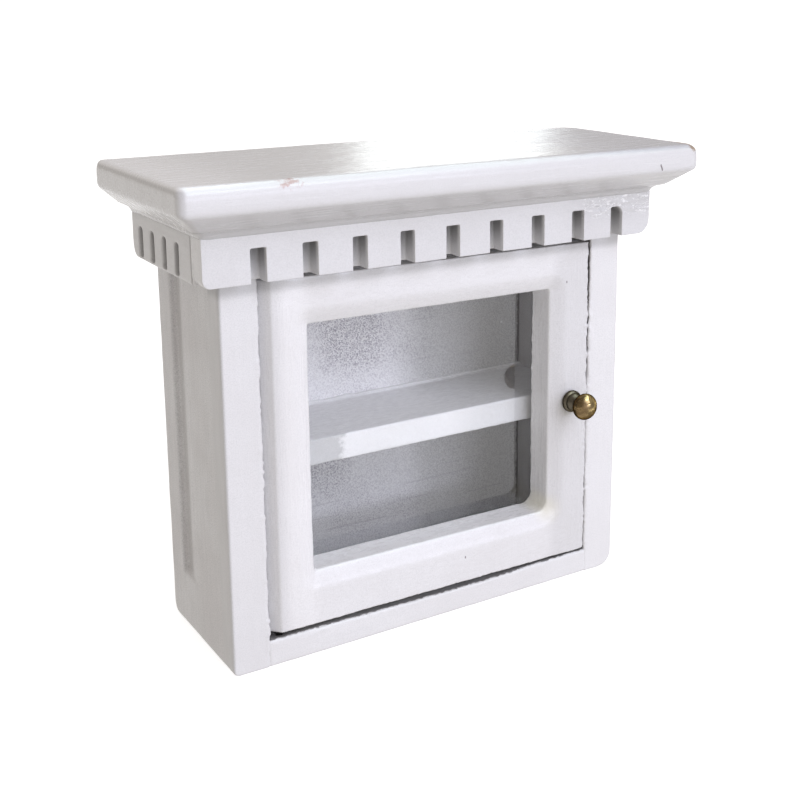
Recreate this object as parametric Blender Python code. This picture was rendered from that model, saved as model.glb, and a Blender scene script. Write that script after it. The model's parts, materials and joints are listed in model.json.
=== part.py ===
"""Dolls' house wall cupboard with one glazed door, modelled piece by piece.

Metres, +Z up. The front faces -Y. The origin is under the middle of the whole
cupboard, on the plane of its underside. The door turns on two upright pins near
its left edge, and its pieces are parented to an empty on that axis.
"""

import math

import bmesh
import bpy

MM = 0.001

# Carcass: the box under the cornice.
CABINET_WIDTH = 60.0 * MM
CABINET_DEPTH = 20.8 * MM
CARCASS_HEIGHT = 56.0 * MM
SIDE_THICKNESS = 3.0 * MM
BACK_THICKNESS = 1.0 * MM
BOARD_THICKNESS = 3.4 * MM
BACK_SEAM = 0.35 * MM
GLUE_GAP = 0.08 * MM
EDGE_ROUND = 0.25 * MM

# Face frame round the door. The feet were rounded by hand, so they differ.
STILE_WIDTH = 5.0 * MM
STILE_DEPTH = 3.2 * MM
OPENING_TOP = 50.7 * MM
LEFT_FOOT_ROUND = 0.8 * MM
RIGHT_FOOT_ROUND = 2.2 * MM
BACK_FOOT_ROUND = 2.0 * MM

# Sunk panel on the outside of each side.
PANEL_FRONT_MARGIN = 5.5 * MM
PANEL_BACK_MARGIN = 4.4 * MM
PANEL_FOOT_MARGIN = 7.5 * MM
PANEL_SINK = 1.05 * MM

# Shelf.
SHELF_TOP = 26.5 * MM
SHELF_THICKNESS = 3.5 * MM
SHELF_FRONT = 6.1 * MM

# Dentil frieze, glued round the top of the carcass.
FRIEZE_BOTTOM = 50.4 * MM
FRIEZE_THICKNESS = 2.9 * MM
FRIEZE_LEFT_ROUND = 1.0 * MM
FRIEZE_RIGHT_ROUND = 1.9 * MM
FRIEZE_BACK_ROUND = 1.6 * MM
NOTCH_TOP = 54.6 * MM
NOTCH_DEPTH = 2.3 * MM
FRONT_NOTCHES = 9
FRONT_NOTCH_PITCH = 6.63 * MM
FRONT_NOTCH_WIDTH = 1.95 * MM
FRONT_NOTCH_SHIFT = 0.55 * MM
SIDE_NOTCHES = 4
SIDE_NOTCH_PITCH = 4.24 * MM
SIDE_NOTCH_WIDTH = 1.2 * MM
SIDE_NOTCH_FIRST = 5.15 * MM

# Cornice: a slab with a rounded top edge, over a slope and a cove. Reach is the share of
# the overhang, from 0 at the frieze's face to 1 at the slab's edge.
TOTAL_HEIGHT = 63.0 * MM
CORNICE_FRONT_OVERHANG = 8.1 * MM
CORNICE_SIDE_OVERHANG = 6.9 * MM
COVE_FOOT_REACH = 0.05
COVE_TOP_REACH = 0.36
COVE_TOP = 57.3 * MM
SLOPE_TOP_REACH = 0.97
SLOPE_TOP = 59.6 * MM
FACE_FOOT = 60.2 * MM
SLAB_EDGE_DROP = 1.25 * MM
SLAB_FRONT_INSET = 1.5 * MM
SLAB_SIDE_INSET = 0.7 * MM
SLAB_CORNER_ROUND = 1.0 * MM

# Door: four mitred members of slightly different widths.
DOOR_GAP = 0.35 * MM
DOOR_BOTTOM = 3.95 * MM
DOOR_TOP = 49.7 * MM
DOOR_THICKNESS = 5.5 * MM
HINGE_STILE_WIDTH = 6.45 * MM
KNOB_STILE_WIDTH = 6.05 * MM
TOP_RAIL_WIDTH = 6.25 * MM
BOTTOM_RAIL_WIDTH = 6.9 * MM
BEVEL_START = 0.66
BEVEL_DEPTH = 0.9 * MM
REBATE_START = 0.84
MITRE_GAP = 0.08 * MM
HINGE_EDGE_WIDTH = 1.5 * MM
HINGE_EDGE_DEPTH = 0.9 * MM

# Pane, in the rebate behind the door's members.
PANE_THICKNESS = 0.42 * MM
PANE_SETBACK = 5.0 * MM

# Hinge pins.
PIN_FROM_DOOR_EDGE = 1.6 * MM
PIN_FROM_DOOR_FRONT = 1.6 * MM
PIN_RADIUS = 0.4 * MM
PIN_DOOR_CLEARANCE = 0.08 * MM
PIN_BOARD_CLEARANCE = 0.04 * MM
PIN_LENGTH_IN_DOOR = 4.0 * MM
PIN_LENGTH_IN_BOARD = 2.6 * MM
HOLE_END_CLEARANCE = 0.3 * MM
PIN_SIDES = 16
HOLE_SIDES = 20

# Knob, turned in one piece with its spigot.
KNOB_X = 21.85 * MM
KNOB_Z = 26.9 * MM
KNOB_FLANGE_RADIUS = 1.55 * MM
KNOB_NECK_RADIUS = 0.8 * MM
KNOB_HEAD_RADIUS = 1.85 * MM
KNOB_HEAD_HALF_DEPTH = 1.35 * MM
KNOB_HEAD_CENTRE = 3.35 * MM
KNOB_SPIGOT_RADIUS = 0.5 * MM
KNOB_SPIGOT_LENGTH = 3.0 * MM
KNOB_SIDES = 24

# Derived places.
HALF_WIDTH = CABINET_WIDTH / 2
FRONT_Y = (CORNICE_FRONT_OVERHANG - CABINET_DEPTH) / 2
BACK_Y = FRONT_Y + CABINET_DEPTH
STILE_BACK_Y = FRONT_Y + STILE_DEPTH
OPENING_HALF = HALF_WIDTH - STILE_WIDTH
INNER_HALF = HALF_WIDTH - SIDE_THICKNESS
DOOR_HALF = OPENING_HALF - DOOR_GAP
HINGE_X = -DOOR_HALF + PIN_FROM_DOOR_EDGE
HINGE_Y = FRONT_Y + PIN_FROM_DOOR_FRONT

# Each arc of a quarter turn is drawn in this many steps. A cutter passes the
# surface it cuts by OVERSHOOT.
ARC_STEPS = 6
OVERSHOOT = 1.0 * MM


def painted(name, colour, roughness, metallic=0.0, transmission=0.0):
    """A Principled BSDF material."""
    material = bpy.data.materials.new(name)
    material.use_nodes = True
    sockets = material.node_tree.nodes["Principled BSDF"].inputs
    sockets["Base Color"].default_value = (*colour, 1.0)
    sockets["Roughness"].default_value = roughness
    sockets["Metallic"].default_value = metallic
    sockets["Transmission Weight"].default_value = transmission
    return material


def add_loft(mesh, rings):
    """Skins a run of rings of points, and closes both ends."""
    rows = [[mesh.verts.new(point) for point in ring] for ring in rings]
    for low, high in zip(rows, rows[1:]):
        for i in range(len(low)):
            mesh.faces.new((low[i - 1], low[i], high[i], high[i - 1]))
    mesh.faces.new(rows[0])
    mesh.faces.new(rows[-1])


def lofted(name, lofts, material):
    """An object from one or more runs of rings, with its faces turned outwards."""
    mesh = bmesh.new()
    for rings in lofts:
        add_loft(mesh, rings)
    bmesh.ops.recalc_face_normals(mesh, faces=mesh.faces)
    data = bpy.data.meshes.new(name)
    mesh.to_mesh(data)
    mesh.free()
    data.materials.append(material)
    thing = bpy.data.objects.new(name, data)
    bpy.context.scene.collection.objects.link(thing)
    return thing


def in_plan(a, b, c):
    """Places an outline in X and Y, with its depth up Z."""
    return a, b, c


def in_elevation(a, b, c):
    """Places an outline in X and Z, with its depth along Y."""
    return a, c, b


def in_side_view(a, b, c):
    """Places an outline in Y and Z, with its depth along X."""
    return c, a, b


def prism(name, outline, place, low, high, material):
    """Extrudes one outline from depth low to depth high."""
    return prisms(name, [outline], place, low, high, material)


def prisms(name, outlines, place, low, high, material):
    """Extrudes several outlines into one object."""
    lofts = [
        [[place(a, b, depth) for a, b in outline] for depth in (low, high)] for outline in outlines
    ]
    return lofted(name, lofts, material)


def rectangle(a0, a1, b0, b1):
    return [(a0, b0), (a1, b0), (a1, b1), (a0, b1)]


def quarter_turns():
    return [math.pi / 2 * step / ARC_STEPS for step in range(ARC_STEPS + 1)]


def rounded(outline, radii):
    """Rounds the corners of a rectangle. radii holds one radius for each corner."""
    points = []
    for i, ((a, b), radius) in enumerate(zip(outline, radii)):
        if radius == 0:
            points.append((a, b))
            continue
        back = direction((a, b), outline[i - 1])
        ahead = direction((a, b), outline[(i + 1) % len(outline)])
        for turn in quarter_turns():
            along_back = radius * (1 - math.sin(turn))
            along_ahead = radius * (1 - math.cos(turn))
            points.append(
                (
                    a + back[0] * along_back + ahead[0] * along_ahead,
                    b + back[1] * along_back + ahead[1] * along_ahead,
                )
            )
    return points


def direction(start, end):
    length = math.dist(start, end)
    return (end[0] - start[0]) / length, (end[1] - start[1]) / length


def circle(a, b, radius, sides):
    turns = [math.tau * i / sides for i in range(sides)]
    return [(a + radius * math.cos(turn), b + radius * math.sin(turn)) for turn in turns]


def soften(thing):
    """Rounds every sharp edge a little."""
    bevel = thing.modifiers.new("soft_edges", "BEVEL")
    bevel.width = EDGE_ROUND
    bevel.segments = 2
    bevel.limit_method = "ANGLE"
    bevel.angle_limit = math.radians(40)


def cut(thing, cutter):
    """Takes the cutter's shape out of the object, and hides the cutter."""
    cutter.hide_render = True
    cutter.display_type = "WIRE"
    boolean = thing.modifiers.new(cutter.name, "BOOLEAN")
    boolean.operation = "DIFFERENCE"
    boolean.solver = "EXACT"
    boolean.object = cutter


def shade_round(thing, sharp_degrees):
    thing.data.shade_smooth()
    thing.data.set_sharp_from_angle(angle=math.radians(sharp_degrees))


def cornice_levels():
    """(reach, rounding, height) of each level of the cornice, from the cove's foot to the top.

    Reach is the share of the overhang, and rounding that of the inset at the top edge.
    """
    levels = []
    foot = CARCASS_HEIGHT + GLUE_GAP
    for turn in quarter_turns():
        reach = COVE_FOOT_REACH + (COVE_TOP_REACH - COVE_FOOT_REACH) * (1 - math.cos(turn))
        levels.append((reach, 0.0, foot + (COVE_TOP - foot) * math.sin(turn)))
    for turn in quarter_turns():
        reach = SLOPE_TOP_REACH + (1 - SLOPE_TOP_REACH) * math.sin(turn)
        levels.append((reach, 0.0, SLOPE_TOP + (FACE_FOOT - SLOPE_TOP) * (1 - math.cos(turn))))
    for turn in quarter_turns():
        height = TOTAL_HEIGHT - SLAB_EDGE_DROP * (1 - math.sin(turn))
        levels.append((1.0, 1 - math.cos(turn), height))
    return levels


def make_cornice(material):
    """One moulded board: the slab and the sloping cove under it, returned on three sides."""
    rings = []
    for reach, rounding, height in cornice_levels():
        front = FRIEZE_THICKNESS + reach * (CORNICE_FRONT_OVERHANG - FRIEZE_THICKNESS)
        side = FRIEZE_THICKNESS + reach * (CORNICE_SIDE_OVERHANG - FRIEZE_THICKNESS)
        front_y = FRONT_Y - front + SLAB_FRONT_INSET * rounding
        half = HALF_WIDTH + side - SLAB_SIDE_INSET * rounding
        plan = rectangle(-half, half, front_y, BACK_Y)
        plan = rounded(plan, (SLAB_CORNER_ROUND, SLAB_CORNER_ROUND, 0, 0))
        rings.append([(x, y, height) for x, y in plan])
    shade_round(lofted("cornice_board", [rings], material), 50)


def notch_outlines(first, pitch, count, width):
    """The outlines of a row of notches, open at the bottom. first is the first one's centre."""
    centres = [first + i * pitch for i in range(count)]
    low = FRIEZE_BOTTOM - OVERSHOOT
    return [rectangle(at - width / 2, at + width / 2, low, NOTCH_TOP) for at in centres]


def make_frieze(material):
    """The front strip covers the ends of both side strips, which butt against its back."""
    half = HALF_WIDTH + FRIEZE_THICKNESS
    face = FRONT_Y - FRIEZE_THICKNESS
    outline = rectangle(-half, half, FRIEZE_BOTTOM, CARCASS_HEIGHT)
    outline = rounded(outline, (FRIEZE_LEFT_ROUND, FRIEZE_RIGHT_ROUND, 0, 0))
    back = FRONT_Y - GLUE_GAP
    strip = prism("frieze_front", outline, in_elevation, face, back, material)
    first = FRONT_NOTCH_SHIFT - FRONT_NOTCH_PITCH * (FRONT_NOTCHES - 1) / 2
    notches = notch_outlines(first, FRONT_NOTCH_PITCH, FRONT_NOTCHES, FRONT_NOTCH_WIDTH)
    depths = (face - OVERSHOOT, face + NOTCH_DEPTH)
    cut(strip, prisms("front_notches", notches, in_elevation, *depths, material))
    for side, name in ((-1, "left"), (1, "right")):
        outline = rectangle(FRONT_Y, BACK_Y, FRIEZE_BOTTOM, CARCASS_HEIGHT)
        outline = rounded(outline, (0, FRIEZE_BACK_ROUND, 0, 0))
        faces = side * (HALF_WIDTH + GLUE_GAP), side * half
        strip = prism(f"frieze_{name}", outline, in_side_view, *faces, material)
        first = FRONT_Y + SIDE_NOTCH_FIRST
        notches = notch_outlines(first, SIDE_NOTCH_PITCH, SIDE_NOTCHES, SIDE_NOTCH_WIDTH)
        depths = side * (half - NOTCH_DEPTH), side * (half + OVERSHOOT)
        cut(strip, prisms(f"{name}_notches", notches, in_side_view, *depths, material))


def make_sides(material):
    """Each side board has a shallow sunk panel on its outer face, which ends under the frieze."""
    for side, name in ((-1, "left"), (1, "right")):
        outline = rectangle(STILE_BACK_Y + GLUE_GAP, BACK_Y, 0, CARCASS_HEIGHT)
        outline = rounded(outline, (0, BACK_FOOT_ROUND, 0, 0))
        faces = side * INNER_HALF, side * HALF_WIDTH
        board = prism(f"side_{name}", outline, in_side_view, *faces, material)
        front = FRONT_Y + PANEL_FRONT_MARGIN
        sunk = rectangle(front, BACK_Y - PANEL_BACK_MARGIN, PANEL_FOOT_MARGIN, NOTCH_TOP)
        depths = side * (HALF_WIDTH - PANEL_SINK), side * (HALF_WIDTH + OVERSHOOT)
        cut(board, prism(f"{name}_sunk_panel", sunk, in_side_view, *depths, material))
        soften(board)


def make_face_frame(material):
    """Two full-height stiles, and the rail between them behind the frieze."""
    feet = ((-1, "left", (LEFT_FOOT_ROUND, 0, 0, 0)), (1, "right", (0, RIGHT_FOOT_ROUND, 0, 0)))
    for side, name, radii in feet:
        low, high = sorted((side * OPENING_HALF, side * HALF_WIDTH))
        outline = rounded(rectangle(low, high, 0, CARCASS_HEIGHT), radii)
        soften(
            prism(f"face_stile_{name}", outline, in_elevation, FRONT_Y, STILE_BACK_Y, material)
        )
    half = OPENING_HALF - GLUE_GAP
    outline = rectangle(-half, half, OPENING_TOP, CARCASS_HEIGHT)
    rail = prism("face_rail_top", outline, in_elevation, FRONT_Y, STILE_BACK_Y, material)
    hole_end = OPENING_TOP + PIN_LENGTH_IN_BOARD + HOLE_END_CLEARANCE
    cut(rail, pin_hole("rail_pin_hole", OPENING_TOP - OVERSHOOT, hole_end, PIN_BOARD_CLEARANCE))


def pin_hole(name, low, high, clearance):
    """A cutter on the hinge axis."""
    outline = circle(HINGE_X, HINGE_Y, PIN_RADIUS + clearance, HOLE_SIDES)
    return prism(name, outline, in_plan, low, high, None)


def make_boards(material):
    """The bottom fills the foot of the opening, and widens behind the stiles."""
    narrow = OPENING_HALF - GLUE_GAP
    wide = INNER_HALF - GLUE_GAP
    step = STILE_BACK_Y + GLUE_GAP
    rear = BACK_Y - BACK_THICKNESS - GLUE_GAP
    right_half = [(narrow, FRONT_Y), (narrow, step), (wide, step), (wide, rear)]
    plan = right_half + [(-x, y) for x, y in reversed(right_half)]
    bottom = prism("bottom_board", plan, in_plan, 0, BOARD_THICKNESS, material)
    hole_end = BOARD_THICKNESS - PIN_LENGTH_IN_BOARD - HOLE_END_CLEARANCE
    hole_mouth = BOARD_THICKNESS + OVERSHOOT
    cut(bottom, pin_hole("bottom_pin_hole", hole_end, hole_mouth, PIN_BOARD_CLEARANCE))
    plan = rectangle(-wide, wide, step, rear)
    prism("top_board", plan, in_plan, CARCASS_HEIGHT - BOARD_THICKNESS, CARCASS_HEIGHT, material)
    plan = rectangle(-wide, wide, FRONT_Y + SHELF_FRONT, rear)
    soften(prism("shelf", plan, in_plan, SHELF_TOP - SHELF_THICKNESS, SHELF_TOP, material))
    half = INNER_HALF - BACK_SEAM
    outline = rectangle(-half, half, 0, CARCASS_HEIGHT)
    prism("back_panel", outline, in_elevation, BACK_Y - BACK_THICKNESS, BACK_Y, material)


def member_section():
    """(share of the member's width in from its outer edge, depth behind the door's front)."""
    return [
        (0.0, EDGE_ROUND),
        (EDGE_ROUND / TOP_RAIL_WIDTH, 0.0),
        (BEVEL_START, 0.0),
        (1.0, BEVEL_DEPTH),
        (1.0, PANE_SETBACK),
        (REBATE_START, PANE_SETBACK),
        (REBATE_START, DOOR_THICKNESS),
        (0.0, DOOR_THICKNESS),
    ]


def door_member(name, start, end, material):
    """A mitred member between two corners, each an (outer point, inner point) in X and Z.

    Both ends are cut from the outer point to the inner one, less half the mitre's gap.
    """
    along = direction(start[0], end[0])
    rings = []
    for (outer, inner), way in ((start, 1), (end, -1)):
        ring = []
        for share, depth in member_section():
            x = outer[0] + (inner[0] - outer[0]) * share + along[0] * way * MITRE_GAP / 2
            z = outer[1] + (inner[1] - outer[1]) * share + along[1] * way * MITRE_GAP / 2
            ring.append((x, FRONT_Y + depth, z))
        rings.append(ring)
    return lofted(name, [rings], material)


def window_edges():
    """The pane's visible edges: left, right, bottom, top."""
    return (
        -DOOR_HALF + HINGE_STILE_WIDTH,
        DOOR_HALF - KNOB_STILE_WIDTH,
        DOOR_BOTTOM + BOTTOM_RAIL_WIDTH,
        DOOR_TOP - TOP_RAIL_WIDTH,
    )


def make_door_members(material):
    outer = rectangle(-DOOR_HALF, DOOR_HALF, DOOR_BOTTOM, DOOR_TOP)
    inner = rectangle(*window_edges())
    corners = list(zip(outer, inner))
    names = ("door_rail_bottom", "door_stile_knob", "door_rail_top", "door_stile_hinge")
    pieces = {}
    for i, name in enumerate(names):
        pieces[name] = door_member(name, corners[i], corners[(i + 1) % 4], material)
    round_hinge_edge(pieces)
    drill_door(pieces)
    return list(pieces.values())


def round_hinge_edge(pieces):
    """The hinged edge is planed round, so that it can turn beside the face stile."""
    left = -DOOR_HALF
    outline = [(left - OVERSHOOT, FRONT_Y - OVERSHOOT)]
    outline.append((left + HINGE_EDGE_WIDTH, FRONT_Y - OVERSHOOT))
    for turn in quarter_turns():
        x = left + HINGE_EDGE_WIDTH * (1 - math.sin(turn))
        outline.append((x, FRONT_Y + HINGE_EDGE_DEPTH * (1 - math.cos(turn))))
    outline.append((left - OVERSHOOT, FRONT_Y + HINGE_EDGE_DEPTH))
    low, high = DOOR_BOTTOM - OVERSHOOT, DOOR_TOP + OVERSHOOT
    cutter = prism("round_hinge_edge", outline, in_plan, low, high, None)
    for name in ("door_stile_hinge", "door_rail_top", "door_rail_bottom"):
        cut(pieces[name], cutter)


def drill_door(pieces):
    """Blind holes for the hinge pins, each through a mitre, and one for the knob's spigot."""
    depth = PIN_LENGTH_IN_DOOR + HOLE_END_CLEARANCE
    ends = {
        "door_rail_bottom": (DOOR_BOTTOM - OVERSHOOT, DOOR_BOTTOM + depth),
        "door_rail_top": (DOOR_TOP - depth, DOOR_TOP + OVERSHOOT),
    }
    for rail, (low, high) in ends.items():
        hole = pin_hole(f"{rail}_pin_hole", low, high, PIN_DOOR_CLEARANCE)
        cut(pieces[rail], hole)
        cut(pieces["door_stile_hinge"], hole)
    outline = circle(KNOB_X, KNOB_Z, KNOB_SPIGOT_RADIUS + GLUE_GAP, HOLE_SIDES)
    hole_end = FRONT_Y + KNOB_SPIGOT_LENGTH + HOLE_END_CLEARANCE
    hole = prism("knob_hole", outline, in_elevation, FRONT_Y - OVERSHOOT, hole_end, None)
    cut(pieces["door_stile_knob"], hole)


def make_pane(material):
    """The clear sheet fills the rebate, and its front rests on the members."""
    left, right, bottom, top = window_edges()
    lap = (1 - REBATE_START) * TOP_RAIL_WIDTH - 2 * GLUE_GAP
    outline = rectangle(left - lap, right + lap, bottom - lap, top + lap)
    front = FRONT_Y + PANE_SETBACK + GLUE_GAP / 2
    return prism("door_pane", outline, in_elevation, front, front + PANE_THICKNESS, material)


def knob_profile():
    """(radius, distance in front of the door) from the spigot's end to the tip of the head."""
    foot = GLUE_GAP
    points = [
        (KNOB_SPIGOT_RADIUS, -KNOB_SPIGOT_LENGTH),
        (KNOB_SPIGOT_RADIUS, foot),
        (KNOB_FLANGE_RADIUS, foot),
        (KNOB_FLANGE_RADIUS, foot + 0.6 * MM),
        (KNOB_FLANGE_RADIUS - 0.3 * MM, foot + 0.65 * MM),
        (KNOB_FLANGE_RADIUS - 0.3 * MM, foot + 1.05 * MM),
        (KNOB_NECK_RADIUS + 0.1 * MM, foot + 1.4 * MM),
        (KNOB_NECK_RADIUS, foot + 1.8 * MM),
    ]
    start, end = math.radians(30), math.radians(170)
    steps = 2 * ARC_STEPS
    for step in range(steps + 1):
        turn = start + (end - start) * step / steps
        distance = KNOB_HEAD_CENTRE - KNOB_HEAD_HALF_DEPTH * math.cos(turn)
        points.append((KNOB_HEAD_RADIUS * math.sin(turn), distance))
    return points


def make_knob(material):
    """The profile turned about an axis along Y."""
    rings = []
    for radius, distance in knob_profile():
        outline = circle(KNOB_X, KNOB_Z, radius, KNOB_SIDES)
        rings.append([(x, FRONT_Y - distance, z) for x, z in outline])
    knob = lofted("knob", [rings], material)
    shade_round(knob, 40)
    return knob


def hang_on_hinge(pieces):
    """Parents the door's pieces to an empty on the hinge axis, leaving them where they are."""
    hinge = bpy.data.objects.new("door_hinge_axis", None)
    hinge.location = (HINGE_X, HINGE_Y, DOOR_BOTTOM)
    bpy.context.scene.collection.objects.link(hinge)
    bpy.context.view_layer.update()
    for piece in pieces:
        piece.parent = hinge
        piece.matrix_parent_inverse = hinge.matrix_world.inverted()


def make_hinge_pins(material):
    """Plain pins, fast in the cupboard and loose in the door."""
    ends = {
        "hinge_pin_bottom": (BOARD_THICKNESS - PIN_LENGTH_IN_BOARD, DOOR_BOTTOM + PIN_LENGTH_IN_DOOR),
        "hinge_pin_top": (DOOR_TOP - PIN_LENGTH_IN_DOOR, OPENING_TOP + PIN_LENGTH_IN_BOARD),
    }
    outline = circle(HINGE_X, HINGE_Y, PIN_RADIUS, PIN_SIDES)
    for name, (low, high) in ends.items():
        shade_round(prism(name, outline, in_plan, low, high, material), 40)


def main():
    for thing in list(bpy.data.objects):
        bpy.data.objects.remove(thing)
    paint = painted("white_paint", (0.84, 0.83, 0.84), 0.42)
    inner_paint = painted("inner_paint", (0.72, 0.71, 0.72), 0.6)
    clear = painted("clear_acrylic", (0.92, 0.94, 0.95), 0.05, transmission=1.0)
    brass = painted("antique_brass", (0.42, 0.31, 0.14), 0.32, metallic=1.0)
    steel = painted("pin_steel", (0.55, 0.54, 0.52), 0.35, metallic=1.0)
    make_cornice(paint)
    make_frieze(paint)
    make_sides(paint)
    make_face_frame(paint)
    make_boards(inner_paint)
    make_hinge_pins(steel)
    hang_on_hinge([*make_door_members(paint), make_pane(clear), make_knob(brass)])


main()
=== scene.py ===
"""The looks of a dolls' house wall cupboard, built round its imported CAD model.

Each painted piece is carved in millimetres: a solid is lofted from outlines and cut, then
remeshed finely and smoothed, which softens its edges as sanding and thick paint do, and moved
a little by noise. The noise depends only on the place, so pieces that meet flush stay flush.
The finished mesh is scaled to metres and stands for its CAD node.
"""

import itertools
import json
import math

import bmesh
import bpy
import numpy as np
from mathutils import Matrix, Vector


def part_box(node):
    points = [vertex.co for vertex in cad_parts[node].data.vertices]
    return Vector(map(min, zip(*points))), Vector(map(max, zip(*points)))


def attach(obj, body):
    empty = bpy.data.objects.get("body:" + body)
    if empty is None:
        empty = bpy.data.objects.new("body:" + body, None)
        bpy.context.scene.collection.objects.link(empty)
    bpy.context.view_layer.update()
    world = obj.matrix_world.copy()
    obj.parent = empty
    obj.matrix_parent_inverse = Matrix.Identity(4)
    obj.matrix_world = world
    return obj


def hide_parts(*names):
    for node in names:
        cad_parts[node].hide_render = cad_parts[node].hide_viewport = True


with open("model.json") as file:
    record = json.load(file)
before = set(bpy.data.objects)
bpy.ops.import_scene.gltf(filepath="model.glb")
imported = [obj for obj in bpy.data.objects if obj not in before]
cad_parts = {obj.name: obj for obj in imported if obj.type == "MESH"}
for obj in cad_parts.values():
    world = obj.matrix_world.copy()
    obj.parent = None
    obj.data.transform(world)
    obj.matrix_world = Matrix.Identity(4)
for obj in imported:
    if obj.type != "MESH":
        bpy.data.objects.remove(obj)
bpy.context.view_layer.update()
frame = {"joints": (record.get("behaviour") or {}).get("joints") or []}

# Lengths are in millimetres, except those of the floor, the lights and the camera.
MM = 0.001
ARC_STEPS = 10
# How far a cut reaches past the wood, and how far a board reaches into its neighbour.
OVERSHOOT = 1.0
OVERLAP = 0.6


# ---------------------------------------------------------------- measures of the CAD model


def box(node):
    """(lowest corner, highest corner) of a CAD node in millimetres."""
    low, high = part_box(node)
    return np.array(low) / MM, np.array(high) / MM


FRONT_Y = box("face_stile_left")[0][1]
BACK_Y = box("back_panel")[1][1]
HALF_WIDTH = box("face_stile_right")[1][0]
STILE_INNER = round(box("face_stile_right")[0][0], 6)
SIDE_INNER = box("side_right")[0][0]
SILL_TOP = box("bottom_board")[1][2]
SLAB_LOW, SLAB_HIGH = box("cornice_board")
FRIEZE_LOW, FRIEZE_HIGH = box("frieze_front")
KNOB_LOW, KNOB_HIGH = box("knob")
KNOB_MIDDLE = (KNOB_LOW + KNOB_HIGH) / 2
DOOR_STILES = box("door_stile_hinge"), box("door_stile_knob")
DOOR_LOW = np.min([low for low, _ in DOOR_STILES], axis=0)
DOOR_HIGH = np.max([high for _, high in DOOR_STILES], axis=0)
HINGE_X, HINGE_Y = (place / MM for place in frame["joints"][0]["pos_m"][:2])
PIN_RADIUS = 0.4
NOTCH_TOP = 54.6
NOTCH_DEPTH = 2.3
NOTCH_SHIFT = 0.55


# ---------------------------------------------------------------- outlines and solids

# Each of these places a point (a, b) of an outline, drawn in that view, at the depth c.


def in_plan(a, b, c):
    return a, b, c


def in_elevation(a, b, c):
    return a, c, b


def in_side_view(a, b, c):
    return c, a, b


def rectangle(a0, a1, b0, b1):
    return [(a0, b0), (a1, b0), (a1, b1), (a0, b1)]


def quarter_turns():
    """Angles from 0 to a quarter turn, for a rounded edge."""
    return [math.pi / 2 * step / ARC_STEPS for step in range(ARC_STEPS + 1)]


def direction(start, end):
    """The unit vector from start to end."""
    length = math.dist(start, end)
    return (end[0] - start[0]) / length, (end[1] - start[1]) / length


def rounded(outline, radii):
    """Rounds a rectangle's corners, with one radius for each."""
    points = []
    for i, ((a, b), radius) in enumerate(zip(outline, radii)):
        if radius == 0:
            points.append((a, b))
            continue
        back = direction((a, b), outline[i - 1])
        ahead = direction((a, b), outline[(i + 1) % len(outline)])
        for turn in quarter_turns():
            along_back = radius * (1 - math.sin(turn))
            along_ahead = radius * (1 - math.cos(turn))
            points.append(
                (
                    a + back[0] * along_back + ahead[0] * along_ahead,
                    b + back[1] * along_back + ahead[1] * along_ahead,
                )
            )
    return points


def circle(a, b, radius, sides=32):
    turns = [math.tau * i / sides for i in range(sides)]
    return [(a + radius * math.cos(turn), b + radius * math.sin(turn)) for turn in turns]


def prism(outline, place, low, high):
    """Two rings of points: an outline at depth low and at depth high."""
    return [[place(a, b, depth) for a, b in outline] for depth in (low, high)]


def loose_object(name, lofts):
    """An object whose mesh skins each run of rings and closes its ends."""
    mesh = bmesh.new()
    for rings in lofts:
        rows = [[mesh.verts.new(point) for point in ring] for ring in rings]
        for low, high in zip(rows, rows[1:]):
            for i in range(len(low)):
                mesh.faces.new((low[i - 1], low[i], high[i], high[i - 1]))
        mesh.faces.new(rows[0])
        mesh.faces.new(rows[-1])
    bmesh.ops.recalc_face_normals(mesh, faces=mesh.faces)
    data = bpy.data.meshes.new(name)
    mesh.to_mesh(data)
    mesh.free()
    thing = bpy.data.objects.new(name, data)
    bpy.context.scene.collection.objects.link(thing)
    return thing


def carved(adds, cuts=(), voxel=0.22, softening=5):
    """A fine mesh of the solids in adds less those in cuts, with its edges softened."""
    block = loose_object("block", adds)
    cutter = loose_object("cutter", cuts) if cuts else None
    if cutter:
        boolean = block.modifiers.new("cuts", "BOOLEAN")
        boolean.operation = "DIFFERENCE"
        boolean.solver = "EXACT"
        boolean.use_self = len(adds) > 1
        boolean.object = cutter
    remesh = block.modifiers.new("fine_mesh", "REMESH")
    remesh.mode = "VOXEL"
    remesh.voxel_size = voxel
    smooth = block.modifiers.new("soft_edges", "SMOOTH")
    smooth.factor = 0.5
    smooth.iterations = softening
    graph = bpy.context.evaluated_depsgraph_get()
    mesh = bpy.data.meshes.new_from_object(block.evaluated_get(graph))
    for thing in (block, cutter):
        if thing:
            bpy.data.objects.remove(thing)
    return mesh


# ---------------------------------------------------------------- surface irregularity


def noise(points, size, seed):
    """Smooth noise from -1 to 1 with features of the given size, which may differ by axis."""
    at = points / size + 17.31 * seed
    cell = np.floor(at).astype(np.int64)
    share = at - cell
    share = share * share * (3 - 2 * share)
    total = np.zeros(len(points))
    for corner in itertools.product((0, 1), repeat=3):
        key = (cell + corner) @ np.array((73856093, 19349663, 83492791))
        key = (key ^ (key >> 15)) * 2246822519
        key = (key ^ (key >> 13)) * 3266489917
        value = ((key >> 16) & 0xFFFF) / 32767.5 - 1
        total += value * np.where(corner, share, 1 - share).prod(axis=1)
    return total


def mesh_points(mesh):
    points = np.empty(len(mesh.vertices) * 3, np.float32)
    mesh.vertices.foreach_get("co", points)
    return points.reshape(-1, 3).astype(np.float64)


def mesh_normals(mesh):
    normals = np.empty(len(mesh.vertices) * 3, np.float32)
    mesh.vertex_normals.foreach_get("vector", normals)
    return normals.reshape(-1, 3).astype(np.float64)


def set_points(mesh, points):
    mesh.vertices.foreach_set("co", points.astype(np.float32).reshape(-1))
    mesh.update()


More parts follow.
